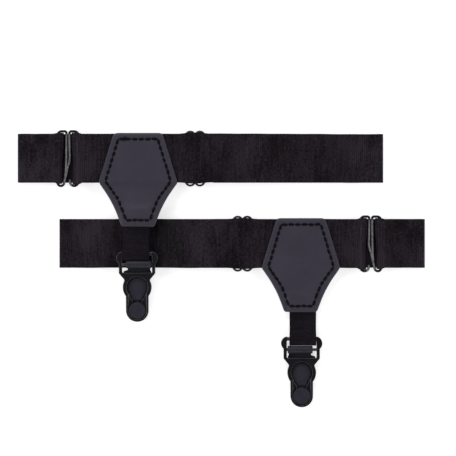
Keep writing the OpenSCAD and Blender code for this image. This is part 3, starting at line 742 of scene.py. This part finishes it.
def hook(g):
    """One bent wire, from the open tip to the end that is welded onto the slanting run."""
    top, outer_r, inner_r = 14.2, 2.1, 1.0
    pts = [(1.0, -11.3), (1.0, -12.0)] + turn(3.2, -12.0, 2.2, 180, 360)[1:]
    pts += [(5.4, y) for y in np.linspace(-11.5, top - outer_r, 26)]
    pts += turn(5.4 - outer_r, top - outer_r, outer_r, 0, 90, 10)[1:]
    pts += turn(0.75 + inner_r, top - inner_r, inner_r, 90, 180, 10)
    slanting = smooth_line([
        (0.75, top - inner_r), (0.76, 9.0), (0.86, 4.5), (0.95, 0.4), (0.62, -2.2), (-0.1, -4.6), (-0.85, -8.0),
        (-1.65, -11.2), (-2.0, -12.5)], 7)
    pts += [tuple(p) for p in slanting][1:]
    pts += turn(-3.7, -12.5, 1.7, 0, -180)[1:]
    pts += [(-5.4, y) for y in np.linspace(-12.0, top - outer_r, 26)]
    pts += turn(-5.4 + outer_r, top - outer_r, outer_r, 180, 90, 10)[1:]
    pts += turn(-0.75 - inner_r, top - inner_r, inner_r, 90, 0, 10)
    straight = smooth_line([
        (-0.75, top - inner_r), (-0.77, 8.0), (-0.82, 2.0), (-0.9, -2.5), (-1.08, -6.4), (-1.3, -8.9)], 7)
    pts += [tuple(p) for p in straight][1:]
    clean = [pts[0]]
    for p in pts[1:]:
        if math.dist(p, clean[-1]) > 0.15:
            clean.append(p)
    line = [place(g, HOOK_U[g] + x, y + HOOK_Y, Z_HOOK) for x, y in clean]
    o = tube(f"{g}_hook_wire", line, HOOK_WIRE_R * MM, WIRE, sides=16)
    base = place(g, HOOK_U[g], 0, 0)
    values = []
    for v in o.data.vertices:
        x = abs(v.co.x - base.x) / MM
        y = (v.co.y - base.y) / MM
        up = (v.co.z / MM - Z_HOOK) / HOOK_WIRE_R
        # abraded coating on the middle wires below the top turns, kept to the top of each wire, where it is also a
        # painted highlight
        k = smooth01((2.7 - x) / 1.0) * smooth01((12.9 - y) / 1.2) * (0.05 + 0.95 * smooth01((up - 0.62) / 0.35))
        values.append(k)
    rim(o, values)
    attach(o, f"{g}_garter")
    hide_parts(f"{g}_hook")


def slider(g):
    """A figure of eight: two loops that share the centre bar."""
    r = SLIDER_BAR / 2
    y0 = SLIDER_H / 2 - SLIDER_WIRE_R - r
    parts = []
    for s in (-1, 1):
        up = turn(s * r, y0, r, 180, 0, 16) if s > 0 else turn(s * r, y0, r, 0, 180, 16)
        side = [(s * SLIDER_BAR, y) for y in np.linspace(y0, -y0, 30)]
        down = turn(s * r, -y0, r, 0, -180, 16) if s > 0 else turn(s * r, -y0, r, 180, 360, 16)
        loop = [place(g, SLIDER_U[g] + x, y + SLIDER_Y, Z_SLIDER) for x, y in up + side[1:-1] + down]
        parts.append(tube("loop", loop, SLIDER_WIRE_R * MM, WIRE, sides=14, caps=False))
    bar = [place(g, SLIDER_U[g], y + SLIDER_Y, Z_SLIDER) for y in np.linspace(-y0, y0, 24)]
    parts.append(tube("bar", bar, SLIDER_WIRE_R * MM, WIRE, sides=14, caps=False))
    o = joined(f"{g}_slider_wire", parts)
    values = []
    for v in o.data.vertices:
        up = (v.co.z / MM - Z_SLIDER) / SLIDER_WIRE_R
        # painted highlight along the top of the wire
        values.append(0.22 * smooth01((up - 0.2) / 0.8))
    rim(o, values)
    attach(o, f"{g}_adjuster")
    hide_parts(f"{g}_slider")


# ---- leather patch -------------------------------------------------------------------------------

def right_of(a, b):
    d = math.dist(a, b)
    return ((b[1] - a[1]) / d, (a[0] - b[0]) / d)


def inset(points, d):
    out = []
    n = len(points)
    for i in range(n):
        m, k = right_of(points[i - 1], points[i]), right_of(points[i], points[(i + 1) % n])
        f = d / (1 + m[0] * k[0] + m[1] * k[1])
        out.append((points[i][0] + f * (m[0] + k[0]), points[i][1] + f * (m[1] + k[1])))
    return out


def outline(d, per=7, along=14):
    """The patch's outline, d further in, as the same number of points whatever d is."""
    pts = inset(CORNERS, d)
    n = len(pts)
    out, ends = [], []
    for i in range(n):
        a, b, c = (np.array(pts[(i + k) % n]) for k in (-1, 0, 1))
        r = max(RADII[i] - 0.55 * max(d, 0), 0.7) if RADII[i] < 5 else RADII[i]
        p, q = b + r * (a - b) / np.linalg.norm(a - b), b + r * (c - b) / np.linalg.norm(c - b)
        ends.append((p, b, q))
    for i in range(n):
        p, b, q = ends[i]
        for k in range(per + 1):
            t = k / per
            out.append(tuple((1 - t) ** 2 * p + 2 * t * (1 - t) * b + t * t * q))
        nxt = ends[(i + 1) % n][0]
        for k in range(1, along):
            out.append(tuple(q + (nxt - q) * k / along))
    return out


def stuffing(x, y):
    """Half of the gap between the plies, at a point of the patch: what lies between them holds them apart."""
    band = smooth01((y + PATCH_TOP + 12.7 + 2.6) / 3.2) if y < 0 else 1.0
    top = smooth01((-y + 0.25) / 1.6)
    gap = 0.93 * band * (0.35 + 0.65 * top)
    px = x + 1.1
    inside = smooth01((PENDANT_W / 2 + 1.7 - abs(px)) / 1.7) * smooth01((-y - (PATCH_H - 11.5)) / 2.5)
    return max(gap, 0.76 * inside, 0.03)


def ply(g, front):
    """One ply: a rounded, pinched rim, a groove along the stitching and a faintly swollen middle."""
    grow = 0.0 if front else -0.15
    depth = [0.0, 0.04, 0.14, 0.3, 0.55, 0.95, 1.6, 2.3, 2.72, 2.98, 3.1, 3.3, 3.42, 3.68, 4.1, 4.7]
    top = [0.30, 0.50, 0.66, 0.76, 0.83, 0.87, 0.89, 0.86, 0.80, 0.72, 0.68, 0.68, 0.72, 0.80, 0.87, 0.90]
    # the rings at the bottom of the stitching groove, which get painted shadow
    seam_rings = (10, 11)
    rings = []
    for d, h in zip(depth, top):
        rings.append((outline(d + grow), h))
    inner = rings[-1][0]
    swollen = ((0.12, 0.905), (0.26, 0.915), (0.42, 0.925), (0.6, 0.93), (0.78, 0.935), (0.93, 0.935), (1.0, 0.935))
    for k, h in swollen:
        ring = []
        for x, y in inner:
            sx, sy = 0.0, min(max(y, -38.0), -10.0)
            ring.append((x + (sx - x) * k, y + (sy - y) * k))
        rings.append((ring, h))
    m = len(inner)
    verts, faces, values, seam_shadow = [], [], [], []
    sign = 1 if front else -1
    for r, (ring, h) in enumerate(rings):
        for x, y in ring:
            s = stuffing(x, y)
            ripple = 0.035 * math.sin(x * 0.55 + 1.7 * math.sin(y * 0.31)) * smooth01((r - 13) / 4)
            verts.append(patch_place(g, x, y, Z_MID + sign * (s + h * PLY_T + ripple)))
            # painted highlight on the outer rim rings
            values.append((0.9, 0.7, 0.25, 0.0, 0.0)[r] if r < 5 else 0.0)
            seam_shadow.append(1.0 if r in seam_rings else 0.0)
    under = [(rings[0][0], 0.22), (rings[2][0], 0.06), (rings[4][0], 0.0), (rings[8][0], 0.0)]
    under += [(rings[i][0], 0.0) for i in range(15, len(rings))]
    for r, (ring, h) in enumerate(under):
        for x, y in ring:
            s = stuffing(x, y)
            verts.append(patch_place(g, x, y, Z_MID + sign * (s + h * PLY_T)))
            # painted highlight on the lower part of the cut edge
            values.append(1.0 if r < 1 else 0.2 if r == 1 else 0.0)
            seam_shadow.append(0.0)
    n_top = len(rings)
    for i in range(n_top - 1):
        for j in range(m):
            a, b = i * m + j, i * m + (j + 1) % m
            faces.append((a, b, b + m, a + m))
    base = n_top * m
    for i in range(len(under) - 1):
        for j in range(m):
            a, b = base + i * m + j, base + i * m + (j + 1) % m
            faces.append((b, a, a + m, b + m))
    for j in range(m):
        faces.append(((j + 1) % m, j, base + j, base + (j + 1) % m))
    o = new_object(f"{g}_patch_{'front' if front else 'back'}_ply", verts, faces, material=LEATHER)
    rim(o, values)
    rim(o, seam_shadow, "seam")
    bm = bmesh.new()
    bm.from_mesh(o.data)
    bmesh.ops.remove_doubles(bm, verts=bm.verts, dist=2e-6)
    bmesh.ops.recalc_face_normals(bm, faces=bm.faces)
    bm.to_mesh(o.data)
    bm.free()
    o.data.shade_smooth()
    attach(o, f"{g}_garter")
    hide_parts(f"{g}_patch_{'front' if front else 'back'}")
    return o


def stitches(g):
    """The seam: on both plies a row of thread stitches, each one dipping into its holes."""
    line = inset(CORNERS, STITCH_INSET)
    n = len(line)
    parts = []
    jitter = random.Random(11 if g == "upper" else 12)
    for i in range(n):
        a, b = np.array(line[i]), np.array(line[(i + 1) % n])
        length = np.linalg.norm(b - a)
        count = max(1, round(length / STITCH_PITCH))
        d = (b - a) / length
        across = np.array([d[1], -d[0]])
        for k in range(count):
            pitch = length / count
            mid = a + d * pitch * (k + 0.5) + across * jitter.uniform(-0.10, 0.10)
            half = pitch * 0.5 * jitter.uniform(0.46, 0.62)
            lean = jitter.uniform(-0.12, 0.12)
            for sign in (1, -1):
                pts = []
                for t in np.linspace(-1, 1, 13):
                    x, y = mid + d * half * t + across * lean * t
                    s = stuffing(x, y)
                    lift = 0.74 * PLY_T + 0.04 - 0.34 * abs(t) ** 4
                    pts.append(patch_place(g, x, y, Z_MID + sign * (s + lift)))
                parts.append(tube("stitch", pts, THREAD_R * MM, THREAD, sides=8, blunt=0.5))
    if g == "upper":
        # the knot at the start of the seam
        for x, y, r in ((-7.2, -2.9, 0.62), (-6.7, -3.3, 0.5), (-7.8, -3.2, 0.42)):
            z = Z_MID + stuffing(x, y) + 0.86 * PLY_T + 0.25
            here = [patch_place(g, x + 0.5 * t, y + 0.3 * t, z) for t in (-1, -0.5, 0, 0.5, 1)]
            parts.append(tube("knot", here, r * MM, THREAD, sides=10, blunt=0.5))
    o = joined(f"{g}_patch_thread", parts)
    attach(o, f"{g}_garter")
    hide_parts(f"{g}_patch_stitching")


# ---- pendant -------------------------------------------------------------------------------------

def pendant(g):
    """One strip of fine elastic: down from the patch, round the clip's strap bar and back up."""
    d = PATCH_H - PATCH_BEND + 1.0
    a = TILT[g]
    by = BAND_Y[g] + PATCH_TOP - PATCH_BEND - d * math.cos(a)
    bz = Z_MID + d * math.sin(a)
    ty = CLIP_Y[g] + STRAP_BAR_Y * math.cos(CLIP_TILT[g])
    tz = CLIP_Z[g] + STRAP_BAR_Y * math.sin(CLIP_TILT[g])
    length = math.dist((by, bz), (ty, tz))
    down = ((ty - by) / length, (tz - bz) / length)
    middle = PATCH_U[g] - 1.1
    layer = PENDANT_T / 2 + 0.03
    turn_r = 1.0 + 0.1 + PENDANT_T / 2

    def at(s, h, x):
        """s runs from the bend towards the clip, h is the height over the strip's own middle."""
        if s >= 0:
            ny, nz = (down[1], -down[0]) if down[0] < 0 else (-down[1], down[0])
            return place(g, middle + x, by + down[0] * s + ny * h - BAND_Y[g], bz + down[1] * s + nz * h)
        cy, cz = math.cos(a), math.sin(a)
        return place(g, middle + x, by - s * cy + h * cz - BAND_Y[g], bz + s * cz + h * cy)

    half = [(-10.0, layer), (-1.0, layer), (length - 4.6, layer), (length - 1.2, turn_r), (length + 1.75, turn_r)]
    top = softened(half, 1.8)
    path = top + arc((length + 1.75, 0), turn_r, 90, -90, 16)[1:-1] + [(s, -h) for s, h in reversed(top)]

    def swell(s):
        """Drawn in very slightly at the middle."""
        return 1 - 0.012 * math.sin(min(max(s / length, 0), 1) * math.pi), 0.0

    o, flat = ribbon(f"{g}_pendant_strip", g, path, PENDANT_W, PENDANT_T, PENDANT, offset=swell, step=0.6,
                     mapper=lambda s, y, h: at(s, h, y), across=12)
    start, end = at(-0.9, 0, 0), at(1.6, 0, 0)
    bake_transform(o)
    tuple(start)
    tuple(end)
    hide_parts(f"{g}_pendant_root", f"{g}_pendant_strap")


# ---- clip ----------------------------------------------------------------------------------------

def lathe(name, g, profile, centre_y, material, n=64):
    """A turned shape in the clip's frame: profile is (radius, height) from the bottom's middle to the top's."""
    verts, faces = [], []
    for r, z in profile:
        for k in range(n):
            t = 2 * math.pi * k / n
            verts.append(clip_place(g, r * math.cos(t), centre_y + r * math.sin(t), z))
    for i in range(len(profile) - 1):
        for k in range(n):
            a, b = i * n + k, i * n + (k + 1) % n
            faces.append((a, b, b + n, a + n))
    faces.append(tuple(range(n)))
    faces.append(tuple(reversed(range((len(profile) - 1) * n, len(profile) * n))))
    return outward(new_object(name, verts, faces, material=material))


def tongue_half(y):
    """The tongue's left and right edge at y: shoulders, a round pad behind the ring, and the narrow tip."""
    left, right = (5.0, 6.7) if y > -5 else (5.2, 5.2)
    if -5 >= y > RING_Y:
        k = (y + 5) / (RING_Y + 5)
        left, right = 5.0 + 0.2 * k, 6.7 - 1.5 * k
    elif y <= RING_Y:
        left = right = 5.2 + (4.0 - 5.2) * (RING_Y - y) / (RING_Y - (END_Y + 4.2))
    flare = smooth01((-y - 2.9) / 0.9) * smooth01((y + 8.5) / 2.0)
    left, right = left + (7.2 - left) * flare, right + (7.2 - right) * flare
    pad = PAD_R ** 2 - (y - RING_Y) ** 2
    if pad > 0:
        left, right = max(left, math.sqrt(pad)), max(right, math.sqrt(pad))
    return left, right


def plug_half(y):
    """Half the width of the raised part that fills the keyhole's wide end."""
    half = math.sqrt(max(PLUG_R ** 2 - (y - RING_Y) ** 2, 0))
    if RING_Y - 3 >= y >= RING_Y - 6:
        half = max(half, 4.2 - 1.5 * (RING_Y - 3 - y) / 3)
    elif RING_Y - 6 > y > RING_Y - 7.3:
        half = 2.7 * math.sqrt(1 - ((RING_Y - 6 - y) / 1.3) ** 2)
    return half


def tongue_plate(name, g, y_from, y_to, material):
    """A stretch of the tongue: a flat plate with rounded long edges, raised in the middle to fill the keyhole."""
    count = max(4, int(abs(y_to - y_from) / 0.22))
    verts, faces = [], []
    for i in range(count + 1):
        y = y_from + (y_to - y_from) * i / count
        left, right = tongue_half(y)
        top = []
        for k in range(49):
            t = -1 + 2 * k / 48
            x = t * (right if t > 0 else left)
            if y > RING_Y:
                near_end = smooth01((RING_Y + PLUG_R - y) / 0.5)
            else:
                near_end = smooth01((y - (RING_Y - 7.2)) / 0.4)
            rise = smooth01((plug_half(y) - abs(x)) / 0.35 + 0.2) * near_end if plug_half(y) > 0.3 else 0.0
            dome = 0.12 * (1 - min(math.hypot(x, y - RING_Y) / PLUG_R, 1) ** 2)
            edge = min(abs(x - right), abs(x + left))
            corner = 0.22 * (1 - math.sqrt(max(1 - (1 - min(edge / 0.22, 1)) ** 2, 0)))
            top.append((x, TONGUE_T - corner + rise * (0.62 + dome)))
        bottom = [(right - 0.1, 0.06), (right - 0.25, 0.0), (-left + 0.25, 0.0), (-left + 0.1, 0.06)]
        ring = top + bottom
        m = len(ring)
        for x, z in ring:
            verts.append(clip_place(g, x, y, z))
    for i in range(count):
        for j in range(m):
            a, b = i * m + j, i * m + (j + 1) % m
            faces.append((a, b, b + m, a + m))
    faces.append(tuple(range(m)))
    faces.append(tuple(reversed(range(count * m, (count + 1) * m))))
    return outward(new_object(name, verts, faces, material=material))


def moulded_frame(g):
    """The clip's frame with moulded, rounded edges, and the attribute that marks the sloping faces of those edges,
    where a highlight is painted.
    """
    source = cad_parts[f"{g}_clip_frame"]
    mesh = source.data.copy()
    mesh.name = f"{g}_clip_moulding"
    mesh.transform(source.matrix_world)
    mesh.materials.clear()
    mesh.materials.append(PLASTIC)
    o = bpy.data.objects.new(f"{g}_clip_moulding", mesh)
    bpy.context.scene.collection.objects.link(o)
    weld = o.modifiers.new("weld", "WELD")
    weld.merge_threshold = 1e-6
    grid = o.modifiers.new("grid", "REMESH")
    grid.mode = "VOXEL"
    grid.voxel_size = 0.17 * MM
    soft = o.modifiers.new("soft", "SMOOTH")
    soft.factor = 0.5
    soft.iterations = 7
    bpy.context.view_layer.update()
    shaped = bpy.data.meshes.new_from_object(o.evaluated_get(bpy.context.evaluated_depsgraph_get()))
    o.modifiers.clear()
    o.data = shaped
    if not shaped.materials:
        shaped.materials.append(PLASTIC)
    shaped.shade_smooth()
    up = clip_place(g, 0, 0, 1) - clip_place(g, 0, 0, 0)
    up.normalize()
    values = []
    # painted highlight: faces tilted part way from up, on the rounded edges
    for v in shaped.vertices:
        k = v.normal.dot(up)
        values.append(smooth01((0.992 - k) / 0.08) * smooth01((k - 0.45) / 0.25))
    rim(o, values)
    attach(o, f"{g}_clip")
    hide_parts(f"{g}_clip_frame")


def clip(g):
    moulded_frame(g)

    # sleeve: a rounded tube on the crossbar
    verts, faces = [], []
    n = 40
    half, r = 6.475, 2.0
    stations = [(-half, 0.83), (-half, r - 0.35), (-half + 0.1, r - 0.12), (-half + 0.3, r)]
    stations += [(-half + 0.3 + (2 * half - 0.6) * i / 12, r) for i in range(1, 12)]
    stations += [(half - 0.3, r), (half - 0.1, r - 0.12), (half, r - 0.35), (half, 0.83)]
    for x, rad in stations:
        for k in range(n):
            t = 2 * math.pi * k / n
            verts.append(clip_place(g, x + 0.8, rad * math.cos(t), Z_BAR + rad * math.sin(t)))
    for i in range(len(stations) - 1):
        for k in range(n):
            a, b = i * n + k, i * n + (k + 1) % n
            faces.append((a, b, b + n, a + n))
    last = (len(stations) - 1) * n
    for k in range(n):
        a, b = k, (k + 1) % n
        faces.append((a, b, last + b, last + a))
    sleeve = outward(new_object(f"{g}_tongue_sleeve", verts, faces, material=RUBBER))
    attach(sleeve, f"{g}_tongue")

    upper_half = tongue_plate(f"{g}_tongue_upper_half", g, -1.0, TONGUE_SPLIT_Y, RUBBER)
    clip_place(g, 0, -7.5, 0.5)
    clip_place(g, 0, -16.5, 0.5)
    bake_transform(upper_half)
    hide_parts(f"{g}_clip_tongue")
    lower_half = tongue_plate(f"{g}_tongue_lower_half", g, TONGUE_SPLIT_Y, END_Y + 2.0, RUBBER)
    start, end = clip_place(g, 0, -19.5, 0.5), clip_place(g, 0, END_Y + 2.4, 0.5)
    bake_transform(lower_half)
    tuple(start)
    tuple(end)
    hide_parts(f"{g}_clip_tongue_tip")

    profile = [
        (0.02, 0.0), (3.9, 0.0), (4.12, 0.08), (4.2, 0.28), (4.2, 0.82), (4.12, 1.02), (3.9, 1.1),
        (2.35, 1.1), (2.2, 1.2), (2.2, 2.2), (2.3, 2.3),
        (3.9, 2.3), (4.2, 2.38), (4.35, 2.6), (4.35, 2.95), (4.26, 3.16), (4.05, 3.3), (3.75, 3.37),
        (3.35, 3.36), (3.05, 3.28), (2.6, 3.2), (1.6, 3.16), (0.02, 3.15)]
    button = lathe(f"{g}_button_turned", g, profile, END_Y, RUBBER)
    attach(button, f"{g}_button")
    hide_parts(f"{g}_clip_button")


for side in SIDES:
    calf_elastic(side)
    hook(side)
    slider(side)
    ply(side, True)
    ply(side, False)
    stitches(side)
    pendant(side)
    clip(side)

# ---- floor and light -----------------------------------------------------------------------------

bpy.ops.mesh.primitive_plane_add(size=3.0, location=(0, 0, -0.0002))
floor = bpy.context.object
floor.name = "floor"
floor_material, _, fb = material("floor_paper")
fb.inputs["Base Color"].default_value = (0.93, 0.93, 0.93, 1)
fb.inputs["Roughness"].default_value = 0.9
fb.inputs["Specular IOR Level"].default_value = 0.1
fb.inputs["Emission Color"].default_value = (1, 1, 1, 1)
fb.inputs["Emission Strength"].default_value = 0.62
floor.data.materials.append(floor_material)

world = bpy.data.worlds.new("studio")
bpy.context.scene.world = world
world.use_nodes = True
world.node_tree.nodes["Background"].inputs["Color"].default_value = (1, 1, 1, 1)
world.node_tree.nodes["Background"].inputs["Strength"].default_value = 0.10


def area(name, location, target, size, power):
    data = bpy.data.lights.new(name, "AREA")
    data.shape = "RECTANGLE"
    data.size, data.size_y = size
    data.energy = power
    o = bpy.data.objects.new(name, data)
    o.location = location
    o.rotation_euler = (Vector(target) - Vector(location)).to_track_quat("-Z", "Y").to_euler()
    bpy.context.scene.collection.objects.link(o)
    return o


area("key", (-0.25, 1.0, 0.62), (0, 0, 0), (1.2, 0.4), 6.0)
area("low", (0.15, -1.0, 0.62), (0, 0, 0), (1.2, 0.4), 3.5)
area("left", (-1.05, -0.1, 0.6), (0, 0, 0), (1.0, 0.4), 5.0)
area("right", (1.05, 0.1, 0.6), (0, 0, 0), (1.0, 0.4), 4.0)
bpy.context.scene.view_settings.view_transform = "Standard"
